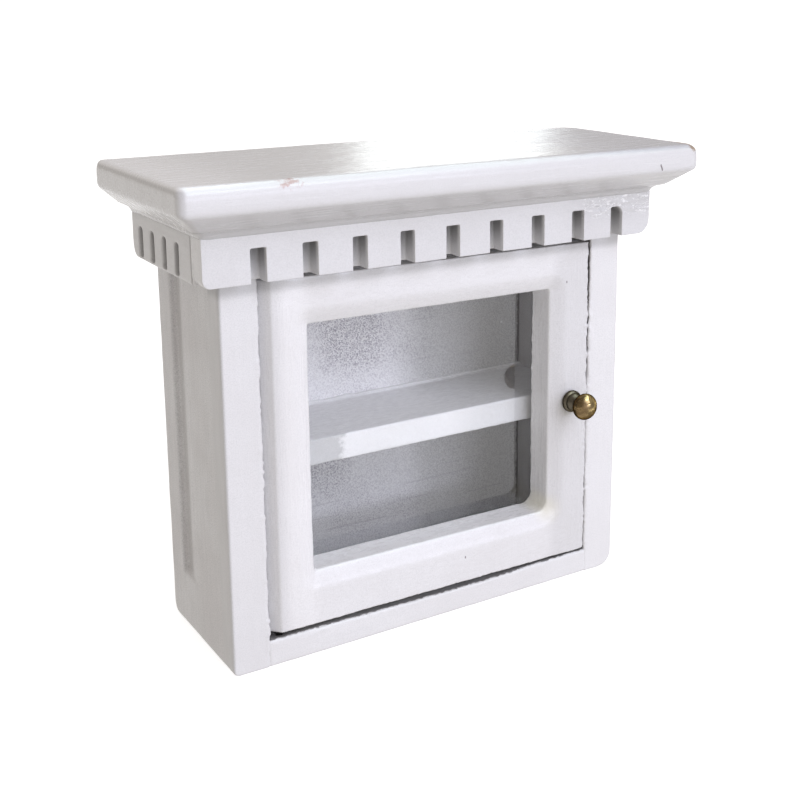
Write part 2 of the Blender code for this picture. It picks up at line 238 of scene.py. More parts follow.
def weathered(mesh, lumps=1.0):
    """Gives a carved mesh the waves of hand-sanded wood and the lumps of brushed paint."""
    points = mesh_points(mesh)
    push = 0.035 * noise(points, 13.0, 1) + lumps * 0.018 * noise(points, 2.4, 2)
    push += lumps * 0.010 * noise(points, 0.8, 3)
    set_points(mesh, points + mesh_normals(mesh) * push[:, None])
    return mesh


def ragged(mesh, planes, reach, height):
    """Leaves torn paint and small flecks where the planes, given as {axis: place}, meet."""
    points = mesh_points(mesh)
    near = 1.0
    for axis, at in planes.items():
        near = near * np.clip(1 - np.abs(points[:, axis] - at) / reach, 0, 1)
    seed = min(planes)
    torn = noise(points, 0.42, 4 + seed) + noise(points, 1.7, 6 + seed)
    flecks = np.clip(noise(points, 0.6, 8 + seed) - 0.35, 0, 1)
    push = near * height * (0.5 * torn + 2.0 * flecks)
    set_points(mesh, points + mesh_normals(mesh) * push[:, None])
    return mesh


def parted(mesh, cuts):
    """The part of a mesh on the inner side of each (point, outward direction) cut, closed again."""
    part = bmesh.new()
    part.from_mesh(mesh)
    for point, outward in cuts:
        geometry = part.verts[:] + part.edges[:] + part.faces[:]
        found = bmesh.ops.bisect_plane(
            part, geom=geometry, dist=1e-5, plane_co=point, plane_no=outward, clear_outer=True
        )
        rim = [item for item in found["geom_cut"] if isinstance(item, bmesh.types.BMEdge)]
        bmesh.ops.holes_fill(part, edges=rim, sides=0)
        for edge in rim:
            edge.smooth = False
    result = bpy.data.meshes.new("part")
    part.to_mesh(result)
    part.free()
    return result


def finished(name, mesh, body, node, material, smooth=True):
    """Scales a mesh to metres and puts it in the place of its CAD node."""
    set_points(mesh, mesh_points(mesh) * MM)
    mesh.materials.clear()
    mesh.materials.append(material)
    mesh.polygons.foreach_set("use_smooth", [smooth] * len(mesh.polygons))
    mesh.name = name
    piece = bpy.data.objects.new(name, mesh)
    bpy.context.scene.collection.objects.link(piece)
    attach(piece, body)
    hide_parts(node)


# ---------------------------------------------------------------- materials


class Graph:
    """A material's node tree, with short calls to add nodes."""

    def __init__(self, name):
        self.material = bpy.data.materials.new(name)
        self.material.use_nodes = True
        self.tree = self.material.node_tree
        self.tree.nodes.clear()
        self.output = self.tree.nodes.new("ShaderNodeOutputMaterial")

    def add(self, kind, inputs=None, out=0, **settings):
        """Adds a node and returns one of its outputs. inputs holds values or sockets."""
        node = self.tree.nodes.new("ShaderNode" + kind)
        for name, value in settings.items():
            setattr(node, name, value)
        for name, value in (inputs or {}).items():
            if isinstance(value, bpy.types.NodeSocket):
                self.tree.links.new(value, node.inputs[name])
            else:
                node.inputs[name].default_value = value
        return node.outputs[out]

    def finish(self, shader):
        self.tree.links.new(shader, self.output.inputs["Surface"])
        return self.material

    def places(self, stretch=(1.0, 1.0, 1.0)):
        """The row frame's coordinates in millimetres, divided by stretch."""
        at = self.add("TexCoord", out="Object")
        scale = [1 / MM / s for s in stretch]
        return self.add("Mapping", {"Vector": at, "Scale": scale})

    def split(self, at):
        return [self.add("SeparateXYZ", {"Vector": at}, out=axis) for axis in "XYZ"]

    def noise(self, at, scale, detail=2.0, roughness=0.5):
        inputs = {"Vector": at, "Scale": scale, "Detail": detail, "Roughness": roughness}
        return self.add("TexNoise", inputs, out="Fac")

    def ramp(self, value, low, high, to_low=0.0, to_high=1.0):
        inputs = {
            "Value": value,
            "From Min": low,
            "From Max": high,
            "To Min": to_low,
            "To Max": to_high,
        }
        return self.add("MapRange", inputs, interpolation_type="SMOOTHSTEP")

    def math(self, operation, a, b):
        return self.add("Math", {0: a, 1: b}, operation=operation)

    def mix(self, share, a, b, blend="MIX"):
        inputs = {0: share, 6: a, 7: b}
        return self.add("Mix", inputs, out=2, data_type="RGBA", blend_type=blend)

    def bump(self, height, distance):
        return self.add("Bump", {"Height": height, "Distance": distance, "Strength": 1.0})


def grey(r, g=None, b=None):
    return (r, r if g is None else g, r if b is None else b, 1.0)


def even(value):
    """An albedo or a depth that is the same everywhere."""
    return lambda g, xyz: value


def paint(name, white, roughness, stretch, brush=even(1.0), mottle=1.0, painted_shade=None, marks_and_light=None):
    """Brushed satin paint over wood.

    white(g, xyz) gives its albedo, which holds painted light and shade on some pieces, and
    brush(g, xyz) the depth of its brush strokes, which run along the longest part of stretch.
    mottle is how patchy it is. painted_shade(g, xyz) gives the share of painted shade in gaps,
    notches and the cove, and marks_and_light(g, at, colour) adds stains and nicks to the colour,
    and on some pieces painted glints and a painted reflection.
    """
    g = Graph(name)
    at = g.places()
    strokes = g.noise(g.places(stretch), 1.6, 4.0, 0.6)
    peel = g.noise(at, 1.9, 3.0, 0.6)
    grain = g.noise(at, 6.0, 2.0, 0.7)
    clouds = g.ramp(g.noise(at, 0.09, 3.0), 0.35, 0.7)
    xyz = g.split(at)
    faded = grey(1 - 0.04 * mottle, 1 - 0.05 * mottle, 1 - 0.05 * mottle)
    colour = g.mix(clouds, grey(1.0, 0.995, 1.0), faded)
    colour = g.mix(g.ramp(strokes, 0.3, 0.75, 0.0, 0.4), colour, grey(1 - 0.07 * mottle))
    colour = g.mix(g.ramp(grain, 0.35, 0.75, 0.0, 0.7), colour, grey(1 - 0.15 * mottle))
    albedo = g.add("CombineColor", dict.fromkeys(("Red", "Green", "Blue"), white(g, xyz)))
    colour = g.mix(1.0, colour, albedo, "MULTIPLY")
    cells = {"Vector": at, "Scale": 0.13}
    spots = g.ramp(g.add("TexVoronoi", cells, out="Distance"), 0.018, 0.03, 1.0, 0.0)
    chosen = g.add("SeparateColor", {"Color": g.add("TexVoronoi", cells, out="Color")})
    spots = g.math("MULTIPLY", spots, g.ramp(chosen, 0.62, 0.66))
    colour = g.mix(spots, colour, grey(0.36, 0.31, 0.27))
    if marks_and_light:
        colour = marks_and_light(g, at, colour)
    # The near-black colour laid on here is painted shade in gaps, notches and the cove.
    if painted_shade:
        colour = g.mix(painted_shade(g, xyz), colour, grey(0.14, 0.135, 0.132))
    rough = g.ramp(strokes, 0.25, 0.75, roughness - 0.05, roughness + 0.07)
    height = g.math("MULTIPLY", strokes, brush(g, xyz))
    for part, share in ((peel, 1.4), (grain, 0.5), (spots, -1.0)):
        height = g.math("ADD", height, g.math("MULTIPLY", part, share))
    inputs = {"Base Color": colour, "Roughness": rough, "Normal": g.bump(height, 0.014 * MM)}
    return g.finish(g.add("BsdfPrincipled", inputs))


def rough_paint():
    """Thin rough paint on the back panel.

    Its inner face has speckled patches, scratches and dark joints along its sides. It is paler at
    the left as painted light, darker at the right as painted shade, and darker low down; its outer
    face is greyer.
    """
    g = Graph("inside_paint")
    at = g.places()
    x, y, z = g.split(at)
    grain = g.noise(at, 5.0, 4.0, 0.8)
    inner_y, wall_y, outer_y = BACK_Y - 1.05, BACK_Y - 0.85, BACK_Y - 0.45
    patch = g.ramp(g.noise(at, 0.12, 2.0), 0.45, 0.7, 0.1, 0.5)
    for x_middle, z_middle, reach in ((-2.0, 36.0, 12.5), (-7.0, 16.5, 9.5)):
        away = distance(g, at, (x_middle, inner_y, z_middle))
        away = g.math("ADD", away, g.math("MULTIPLY", g.noise(at, 0.3, 2.0), 6.0))
        patch = g.math("MAXIMUM", patch, g.ramp(away, 0.5 * reach, reach, 1.0, 0.0))
    inner = g.ramp(y, wall_y, outer_y, 1.0, 0.0)
    pits = g.math("MULTIPLY", g.ramp(g.noise(at, 5.0, 3.0, 0.9), 0.51, 0.57), patch)
    pits = g.math("MULTIPLY", pits, inner)
    # dimmed: painted shade to the right of the key light's shadow edge, with painted light to its
    # left; it also dims the wall low down and on the outer face.
    dimmed = g.math("MAXIMUM", g.ramp(x, 2.0, 11.0), g.ramp(z, 21.0, 27.0, 0.55, 0.0))
    dimmed = g.math("ADD", g.math("MULTIPLY", dimmed, inner), g.ramp(y, wall_y, outer_y, 0.0, 0.45))
    light = g.mix(dimmed, grey(0.99, 0.975, 0.985), grey(0.69, 0.685, 0.68))
    dull = g.mix(dimmed, grey(0.80, 0.785, 0.80), grey(0.48, 0.475, 0.47))
    colour = g.mix(g.ramp(grain, 0.4, 0.6), light, dull)
    colour = g.mix(g.math("MULTIPLY", pits, 0.75), colour, grey(0.22, 0.18, 0.27))
    lines = g.add("Mapping", {"Vector": g.places((14.0, 1.0, 0.35)), "Rotation": (0.0, 0.45, 0.0)})
    scratch = g.math("MULTIPLY", g.ramp(g.noise(lines, 0.8, 1.0), 0.70, 0.74), inner)
    colour = g.mix(g.math("MULTIPLY", scratch, 0.4), colour, grey(0.4, 0.38, 0.42))
    cells = {"Vector": at, "Scale": 0.16}
    specks = g.ramp(g.add("TexVoronoi", cells, out="Distance"), 0.02, 0.04, 1.0, 0.0)
    specks = g.math("MULTIPLY", specks, inner)
    colour = g.mix(specks, colour, grey(1.0))
    torn = g.math("MULTIPLY", g.noise(at, 0.8, 4.0, 0.7), 0.7)
    seam = g.math("ADD", g.math("ABSOLUTE", x, 0.0), torn)
    seam = g.ramp(seam, SIDE_INNER - 0.1, SIDE_INNER + 0.05)
    seam = g.math("MULTIPLY", seam, g.ramp(y, inner_y - 0.5, inner_y - 0.2))
    colour = g.mix(g.math("MULTIPLY", seam, 0.85), colour, grey(0.08, 0.06, 0.06))
    height = g.math("SUBTRACT", grain, g.math("ADD", pits, scratch))
    inputs = {"Base Color": colour, "Roughness": 0.6, "Normal": g.bump(height, 0.03 * MM)}
    return g.finish(g.add("BsdfPrincipled", inputs))


def clear_sheet():
    """Clear acrylic. The reflections off both its faces are counted on the face that is met."""
    g = Graph("clear_sheet")
    dust = g.ramp(g.noise(g.places(), 1.7, 5.0, 0.7), 0.55, 0.8, 0.02, 0.07)
    gloss = g.add("BsdfGlossy", {"Color": grey(1.0), "Roughness": dust})
    clear = g.add("BsdfTransparent", {"Color": grey(0.975, 0.98, 0.982)})
    one_face = g.math("MULTIPLY", g.add("Fresnel", {"IOR": 1.49}), 1.9)
    met = g.math("SUBTRACT", 1.0, g.add("NewGeometry", out="Backfacing"))
    return g.finish(g.add("MixShader", {0: g.math("MULTIPLY", one_face, met), 1: clear, 2: gloss}))


def brass():
    """Turned brass, darkened next to the door. The left side of the head is darkened brown, and
    its rim darkened by a near-black edge tint, both as painted shade.
    """
    g = Graph("antique_brass")
    at = g.places()
    x, y, _ = g.split(at)
    tarnish = g.ramp(g.noise(at, 0.9, 4.0, 0.6), 0.4, 0.58, 0.0, 0.85)
    collar = g.ramp(y, KNOB_LOW[1] + 2.2, KNOB_LOW[1] + 3.0)
    colour = g.mix(tarnish, grey(0.56, 0.43, 0.21), grey(0.07, 0.05, 0.028))
    # Painted shade: the head's left side, away from the light, is darkened brown.
    shaded_side = g.ramp(x, KNOB_MIDDLE[0] - 1.0, KNOB_MIDDLE[0] + 0.5, 0.85, 0.0)
    colour = g.mix(shaded_side, colour, grey(0.12, 0.078, 0.038))
    colour = g.mix(g.math("MULTIPLY", collar, 0.8), colour, grey(0.085, 0.08, 0.065))
    rings = g.noise(g.places((30.0, 0.12, 30.0)), 1.0, 2.0)
    dents = g.math("ADD", g.noise(at, 0.75, 1.0), g.math("MULTIPLY", rings, 0.15))
    inputs = {
        "Base Color": colour,
        "Roughness": g.ramp(g.math("MAXIMUM", tarnish, collar), 0.0, 1.0, 0.1, 0.38),
        # The near-black edge tint darkens the head's rim, as painted shade.
        "Specular Tint": grey(0.03, 0.015, 0.01),
        "Metallic": 1.0,
        "Normal": g.bump(dents, 0.07 * MM),
    }
    return g.finish(g.add("BsdfPrincipled", inputs))


def wire():
    """Drawn steel wire, streaked along its length."""
    g = Graph("pin_wire")
    streaks = g.noise(g.places((0.1, 0.1, 3.0)), 1.0, 3.0)
    colour = g.mix(streaks, grey(0.24, 0.23, 0.22), grey(0.12, 0.11, 0.10))
    inputs = {
        "Base Color": colour,
        "Roughness": g.ramp(streaks, 0.2, 0.8, 0.25, 0.45),
        "Metallic": 1.0,
        "Normal": g.bump(streaks, 0.01 * MM),
    }
    return g.finish(g.add("BsdfPrincipled", inputs))


def gap_shade(g, xyz):
    """Painted shade on what faces the gap round the door, deeper high up on the knob side, with a
    torn outline.
    """
    x, y, z = xyz
    torn = g.ramp(g.noise(g.places(), 1.3, 2.0, 0.5), 0.3, 0.7, -0.12, 0.12)
    behind = g.ramp(g.math("ADD", y, torn), FRONT_Y + 0.15, FRONT_Y + 0.4)
    below = g.ramp(z, SILL_TOP - 0.5, SILL_TOP - 0.35, 0.0, 0.86)
    below = g.math("MULTIPLY", below, g.ramp(z, SILL_TOP + 0.55, SILL_TOP + 0.7, 1.0, 0.0))
    beside = g.ramp(x, STILE_INNER - 0.55, STILE_INNER - 0.4)
    beside = g.math("MULTIPLY", beside, g.ramp(x, STILE_INNER, STILE_INNER + 0.2, 1.0, 0.0))
    beside = g.math("MULTIPLY", beside, g.ramp(z, 29.0, 37.0, 0.12, 0.95))
    off_middle = g.math("ABSOLUTE", x, 0.0)
    within = g.ramp(off_middle, STILE_INNER + 0.3, STILE_INNER + 0.6, 1.0, 0.0)
    return g.math("MULTIPLY", behind, g.math("MULTIPLY", g.math("MAXIMUM", below, beside), within))


def notch_shade(depth, axis, middle, half):
    """Painted shade that deepens upwards in the notches, which lie within half of middle along an
    axis.
    """

    def painted_shade(g, xyz):
        inside = g.ramp(depth(g, xyz), 0.2, 0.9)
        off_middle = g.math("ABSOLUTE", g.math("SUBTRACT", xyz[axis], middle), 0.0)
        inside = g.math("MULTIPLY", inside, g.ramp(off_middle, half, half + 0.2, 1.0, 0.0))
        rising = g.ramp(xyz[2], FRIEZE_LOW[2] - 0.2, NOTCH_TOP + 0.2, 0.10, 0.74)
        return g.math("MULTIPLY", inside, rising)

    return painted_shade


def behind_front(g, xyz):
    """How far a point is behind the frieze's front face."""
    return g.math("SUBTRACT", xyz[1], FRIEZE_LOW[1])


def behind_side(g, xyz):
    """How far a point is inside the frieze's side faces."""
    return g.math("SUBTRACT", FRIEZE_HIGH[0], g.math("ABSOLUTE", xyz[0], 0.0))


def cove_shade(g, xyz):
    """A little painted shade in the cove under the slab."""
    return g.ramp(xyz[2], SLAB_LOW[2] + 0.12, SLAB_LOW[2] + 2.32, 0.16, 0.0)


def distance(g, at, place, squeeze=(1.0, 1.0, 1.0)):
    """How far a point is from a place, with each axis scaled by squeeze."""
    squeezed = g.add("Mapping", {"Vector": at, "Scale": squeeze})
    middle = [a * b for a, b in zip(place, squeeze)]
    middle = g.add("CombineXYZ", dict(zip("XYZ", middle)))
    return g.add("VectorMath", {0: squeezed, 1: middle}, out="Value", operation="DISTANCE")


def frieze_shadow(g, z, white):
    """Dims the paint just under the frieze, as a painted shadow."""
    foot = FRIEZE_LOW[2]
    return g.math("MULTIPLY", white, g.ramp(z, foot - 2.5, foot - 1.2, 1.0, 0.72))


def door_white(g, xyz):
    """Paler on the hinged side and darker on the knob side. The top rail is lightened as painted
    light, the slanting hinged edge darkened as painted shade, and the paint under the frieze
    gets a painted shadow.
    """
    x, _, z = xyz
    hinge_side, knob_side, top = DOOR_LOW[0], DOOR_HIGH[0], DOOR_HIGH[2]
    coat_and_light = g.ramp(x, knob_side - 6.85, knob_side - 4.65, 0.85, 0.765)
    coat_and_light = g.math("ADD", coat_and_light, g.ramp(x, hinge_side + 5.15, hinge_side + 7.65, 0.05, 0.0))
    # Painted light on the top rail, then painted shade on the slanting hinged edge.
    coat_and_light = g.math("ADD", coat_and_light, g.ramp(z, top - 5.66, top - 1.66, 0.0, 0.03))
    coat_and_light = g.math("MULTIPLY", coat_and_light, g.ramp(x, hinge_side + 1.05, hinge_side + 3.45, 0.84, 1.0))
    return frieze_shadow(g, z, coat_and_light)


def stile_white(g, xyz):
    """The left stile is a little darker than the right. A stile's outer side is darkened as painted
    shade, as dark as the side board behind it, and the paint under the frieze gets a painted
    shadow.
    """
    front = g.ramp(xyz[0], -10.0, 10.0, 0.81, 0.865)
    outer = g.ramp(g.math("ABSOLUTE", xyz[0], 0.0), HALF_WIDTH - 0.4, HALF_WIDTH - 0.1, 0.0, 0.16)
    return frieze_shadow(g, xyz[2], g.math("SUBTRACT", front, outer))


def on_slab_top(g, z):
    """1 on the slab's top face, and 0 below it."""
    return g.ramp(z, SLAB_HIGH[2] - 0.6, SLAB_HIGH[2] - 0.2)


def slab_white(g, xyz):
    """The slab's top is paler at the left and darker towards the right, as painted reflection. Its
    cove, slope and ends are darker than its front face, as painted shade.
    """
    x, _, z = xyz
    top = g.math("SUBTRACT", g.ramp(x, -36.0, -22.0, 0.93, 0.76), g.ramp(x, 15.0, 30.0, 0.0, 0.17))
    edge = g.ramp(z, SLAB_LOW[2] + 2.32, SLAB_LOW[2] + 4.12, 0.68, 0.77)
    end = g.ramp(g.math("ABSOLUTE", x, 0.0), SLAB_HIGH[0] - 0.9, SLAB_HIGH[0] - 0.3, 0.0, 0.12)
    edge = g.math("SUBTRACT", edge, end)
    share = on_slab_top(g, z)
    edge = g.math("MULTIPLY", g.math("SUBTRACT", 1.0, share), edge)
    return g.math("ADD", edge, g.math("MULTIPLY", share, top))


def slab_brush(g, xyz):
    """The strokes are deepest at the right of the slab's top, and stop short of its ends."""
    x, _, z = xyz
    under = g.math("MAXIMUM", g.math("SUBTRACT", SLAB_LOW[2] + 4.12, z), 0.0)
    out = g.math("ADD", g.math("ABSOLUTE", x, 0.0), g.math("MULTIPLY", under, 1.3))
    depth = g.ramp(x, -15.0, 22.0, 0.2, 1.7)
    fading = g.ramp(out, SLAB_HIGH[0] - 1.3, SLAB_HIGH[0] - 0.6, 1.0, 0.1)
    return g.math("MULTIPLY", depth, fading)


def curls(g, xyz):
    """The share of thick curling ridges of paint, near the top right of the frieze."""
    x, _, z = xyz
    near = g.math("MULTIPLY", g.ramp(x, 19.0, 23.0), g.ramp(z, 52.9, 54.0))
    found = 0.0
    for size in (0.75, 1.1):
        line = g.noise(g.places((2.4, 1.0, 0.6)), size, 2.0, 0.6)
        off_line = g.math("ABSOLUTE", g.math("SUBTRACT", line, 0.5), 0.0)
        found = g.math("MAXIMUM", g.ramp(off_line, 0.0, 0.028, 1.0, 0.0), found)
    broken = g.ramp(g.noise(g.places(), 0.9, 2.0), 0.38, 0.5)
    return g.math("MULTIPLY", found, g.math("MULTIPLY", near, broken))


def frieze_brush(g, xyz):
    """The strokes are deepest along the curls."""
    return g.math("ADD", 1.0, g.math("MULTIPLY", curls(g, xyz), 5.0))


def frieze_glints_and_shade(g, at, colour):
    """The curls are coloured pale as painted glints on their ridges, on paint a little darker round
    them.
    """
    xyz = g.split(at)
    shade = g.math("MULTIPLY", g.ramp(xyz[0], 16.0, 23.0), g.ramp(xyz[2], 51.5, 54.0, 0.05, 0.2))
    colour = g.mix(shade, colour, grey(0.45))
    return g.mix(curls(g, xyz), colour, grey(1.0))


def shelf_white(g, xyz):
    """The front edge and the bead of paint at the back are made bright as painted light, but for a
    smudged left end; the right part is darkened as painted shade.
    """
    x, y, _ = xyz
    torn = g.ramp(g.noise(g.places(), 0.9, 3.0), 0.3, 0.7, -0.8, 0.8)
    smudged_and_shaded = g.ramp(g.math("ADD", x, torn), -11.9, -10.3, 0.64, 1.0)
    smudged_and_shaded = g.math("MULTIPLY", smudged_and_shaded, g.ramp(x, 5.0, 12.0, 1.0, 0.85))
    front = g.math("MULTIPLY", smudged_and_shaded, g.ramp(y, -0.25, 0.1, 1.0, 0.0))
    bead = g.ramp(y, 12.75, 12.95)
    scuffed_and_shaded = g.ramp(g.noise(g.places((3, 1, 1)), 2.5, 4.0, 0.8), 0.35, 0.65, 1.0, 0.86)
    scuffed_and_shaded = g.math("MULTIPLY", scuffed_and_shaded, g.ramp(x, 4.0, 12.0, 1.0, 0.88))
    top = g.math("MULTIPLY", scuffed_and_shaded, g.ramp(y, -0.25, 0.1))
    return g.math("MAXIMUM", g.math("ADD", front, top), bead)


def nicked(g, at, colour, places):
    """Small dark nicks at (x, z) places on a front face."""
    for x, z in places:
        away = distance(g, at, (x, 0.0, z), (1.0, 0.0, 0.6))
        colour = g.mix(g.ramp(away, 0.07, 0.14, 0.9, 0.0), colour, grey(0.16, 0.13, 0.14))
    return colour


def door_marks(g, at, colour):
    """Nicks, and paint yellowed in the window's lower corner on the knob side."""
    away = distance(g, at, (18.5, -4.0, 11.0), (1.0, 0.5, 1.0))
    colour = g.mix(g.ramp(away, 0.3, 3.0, 0.55, 0.0), colour, grey(0.80, 0.77, 0.60))
    places = ((18.0, 29.0), (18.3, 28.7), (20.9, 44.2), (4.2, 7.5))
    return nicked(g, at, colour, places)


def slab_marks_and_reflection(g, at, colour):
    """A bluish tint at the right of the top as painted reflection, a rub mark on the front edge, a
    short scratch, and an edge worn to the wood at the right.
    """
    x, y, z = g.split(at)
    # Painted reflection: the top turns bluish towards the right.
    bluish = g.math("MULTIPLY", g.ramp(x, 10.0, 24.0, 0.0, 0.6), on_slab_top(g, z))
    colour = g.mix(bluish, colour, grey(0.60, 0.60, 0.66))
    away = distance(g, at, (-24.0, -13.7, 62.4), (0.5, 1.0, 1.0))
    away = g.math("ADD", away, g.ramp(g.noise(at, 2.0, 3.0), 0.3, 0.7, -0.3, 0.3))
    colour = g.mix(g.ramp(away, 0.3, 0.85, 0.9, 0.0), colour, grey(0.50, 0.33, 0.30))
    torn = g.ramp(g.noise(at, 1.2, 4.0, 0.7), 0.3, 0.7, -0.35, 0.35)
    worn = g.ramp(g.math("ADD", x, torn), SLAB_HIGH[0] - 1.3, SLAB_HIGH[0] - 0.9)
    worn = g.math("MULTIPLY", worn, g.ramp(y, -11.0, -8.5, 1.0, 0.0))
    edge = g.ramp(g.math("ADD", z, torn), SLAB_HIGH[2] - 0.8, SLAB_HIGH[2] - 0.5, 0.0, 0.9)
    worn = g.math("MULTIPLY", worn, edge)
    colour = g.mix(worn, colour, grey(0.34, 0.25, 0.17))
    return nicked(g, at, colour, ((30.2, 60.6), (30.3, 60.4), (30.4, 60.2), (30.5, 60.0)))


def door_paint(name, stretch, brush):
    """The glossier paint of the door's four members."""
    return paint(name, door_white, 0.27, stretch, even(brush), 1.2, gap_shade, door_marks)


UPRIGHT, ACROSS, FORE_AND_AFT = (1, 1, 9), (9, 1, 1), (1, 9, 1)
# Painted shade inside the front and side notches.
FRONT_NOTCH_SHADE = notch_shade(behind_front, axis=0, middle=NOTCH_SHIFT, half=28.0)
SIDE_NOTCH_SHADE = notch_shade(behind_side, axis=1, middle=3.6, half=9.9)
MATERIALS = {
    # The side boards' paint is darker than the front's, as painted shade.
    "side": paint("paint_side", even(0.73), 0.42, UPRIGHT, mottle=2.6),
    "stile": paint("paint_stile", stile_white, 0.42, UPRIGHT, mottle=1.2, painted_shade=gap_shade),
    "rail": paint("paint_rail", even(0.80), 0.40, ACROSS),
    "sill": paint("paint_sill", even(0.84), 0.40, ACROSS, mottle=1.2, painted_shade=gap_shade),
    "door_upright": door_paint("paint_door_upright", UPRIGHT, 1.2),
    "door_across": door_paint("paint_door_across", (3, 1, 1), 2.4),
    "frieze_front": paint(
        "paint_frieze_front",
        even(0.76),
        0.36,
        (3, 1, 0.7),
        frieze_brush,
        painted_shade=FRONT_NOTCH_SHADE,
        marks_and_light=frieze_glints_and_shade,
    ),
    # The frieze sides' paint is darker than the front strip's, as painted shade.
    "frieze_side": paint("paint_frieze_side", even(0.70), 0.42, FORE_AND_AFT, painted_shade=SIDE_NOTCH_SHADE),
    "slab": paint(
        "paint_slab", slab_white, 0.24, (12, 1.2, 1.0), slab_brush, 0.6, cove_shade, slab_marks_and_reflection
    ),
    "shelf": paint("paint_shelf", shelf_white, 0.5, ACROSS, mottle=0.9),
    "inside": rough_paint(),
    "clear": clear_sheet(),
    "brass": brass(),
    "wire": wire(),
}


# ---------------------------------------------------------------- the cupboard's pieces


def painted(node, mesh, material, lumps=1.0):
    finished(f"{node}_painted", weathered(mesh, lumps), "cabinet", node, material)


def cornice_levels(foot, top):
    """(reach, front share, height) of each level.

    Reach is the share of the overhang, and front share that of the rounding on the top edge.
    """
    cove_foot, cove_reach, cove_top = 0.05, 0.36, foot + 1.22
    slope_top, slope_reach, face_foot = foot + 3.52, 0.97, foot + 4.12
    edge_drop = 1.25
    levels = []
    for turn in quarter_turns():
        reach = cove_foot + (cove_reach - cove_foot) * (1 - math.cos(turn))
        levels.append((reach, 0.0, foot + (cove_top - foot) * math.sin(turn)))
    for turn in quarter_turns():
        reach = slope_reach + (1 - slope_reach) * math.sin(turn)
        levels.append((reach, 0.0, slope_top + (face_foot - slope_top) * (1 - math.cos(turn))))
    for turn in quarter_turns():
        levels.append((1.0, 1 - math.cos(turn), top - edge_drop * (1 - math.sin(turn))))
    return levels


def make_cornice():
    """The board's front edge is rounded broadly, and its ends only a little."""
    low, high = box("cornice_board")
    frieze = box("frieze_front")[0]
    front_inset, side_inset, proud = 1.5, 0.7, 0.25
    rings = []
    for reach, rounding, height in cornice_levels(low[2], high[2]):
        half = -frieze[0] + reach * (frieze[0] - low[0] + proud) - side_inset * rounding
        front = frieze[1] + reach * (low[1] - frieze[1]) + front_inset * rounding
        plan = rectangle(-half, half, front, high[1] + proud * reach)
        plan = rounded(plan, (1.0, 1.0, 3.0 * reach, 0.4 * reach))
        rings.append([(x, y, height) for x, y in plan])
    mesh = carved([rings], voxel=0.29, softening=7)
    painted("cornice_board", mesh, MATERIALS["slab"])


def notches(first, pitch, count, width, low, high):
    """Outlines of a row of notches, each open past its low end."""
    centres = [first + i * pitch for i in range(count)]
    return [rectangle(at - width / 2, at + width / 2, low - OVERSHOOT, high) for at in centres]


def make_frieze():
    """The toothed strips. The front one's last notch is round at its top."""
    low, high = box("frieze_front")
    top = high[2] + OVERLAP / 2
    outline = rounded(rectangle(low[0], high[0], low[2], top), (1.0, 1.9, 0, 0))
    strip = prism(outline, in_elevation, low[1], FRONT_Y + OVERLAP / 2)
    pitch, count, width = 6.63, 9, 1.95
    first = NOTCH_SHIFT - pitch * (count - 1) / 2
    outlines = notches(first, pitch, count, width, low[2], NOTCH_TOP)
    outlines[-1] = rounded(outlines[-1], (0, 0, 1.1, 0.3))
    depths = low[1] - OVERSHOOT, low[1] + NOTCH_DEPTH
    cuts = [prism(outline, in_elevation, *depths) for outline in outlines]
    mesh = carved([strip], cuts, voxel=0.13, softening=0)
    brush_marks(mesh, low[1])
    painted("frieze_front", mesh, MATERIALS["frieze_front"], lumps=1.3)
    proud = 2.9
    for side, name in ((-1, "left"), (1, "right")):
        low, high = box(f"frieze_{name}")
        outline = rectangle(low[1] - OVERLAP, high[1], low[2], top)
        outline = rounded(outline, (0, 1.6, 0, 0))
        outer = side * (HALF_WIDTH + proud)
        strip = prism(outline, in_side_view, side * (HALF_WIDTH - OVERLAP / 2), outer)
        first, pitch, count, width, foot = FRONT_Y + 5.15, 4.24, 4, 1.5, low[2] + 0.3
        outlines = notches(first, pitch, count, width, foot + OVERSHOOT, NOTCH_TOP)
        outlines = [rounded(outline, (0.5,) * 4) for outline in outlines]
        depths = outer - side * NOTCH_DEPTH, outer + side * OVERSHOOT
        cuts = [prism(outline, in_side_view, *depths) for outline in outlines]
        joint = rectangle(FRONT_Y + 0.25, FRONT_Y + 0.6, low[2] - OVERSHOOT, top + OVERSHOOT)
        cuts.append(prism(joint, in_side_view, outer - side * 0.8, outer + side * OVERSHOOT))
        mesh = carved([strip], cuts, voxel=0.14, softening=1)
        painted(f"frieze_{name}", mesh, MATERIALS["frieze_side"])


def brush_marks(mesh, face):
    """Raises a few ridges of paint near the top right of the frieze's face."""
    points = mesh_points(mesh)
    x, y, z = points.T
    near = np.clip(1 - np.abs(x - 27.5) / 5, 0, 1) * np.clip(1 - np.abs(z - 54.9) / 1.6, 0, 1)
    near[y > face + 0.2] = 0
    ridges = np.clip(noise(points, np.array((1.6, 4.0, 0.35)), 21) - 0.25, 0, 1)
    points[:, 1] -= 0.28 * near**0.5 * ridges
    set_points(mesh, points)


def thick_edge(mesh):
    """Builds up the paint on the lower half of the right stile's inner edge."""
    points = mesh_points(mesh)
    x, _, z = points.T
    near = np.clip(1 - np.abs(x - STILE_INNER) / 0.6, 0, 1) * np.clip((32.0 - z) / 5.0, 0, 1)
    points[:, 0] -= 0.14 * near
    set_points(mesh, points)
    return mesh


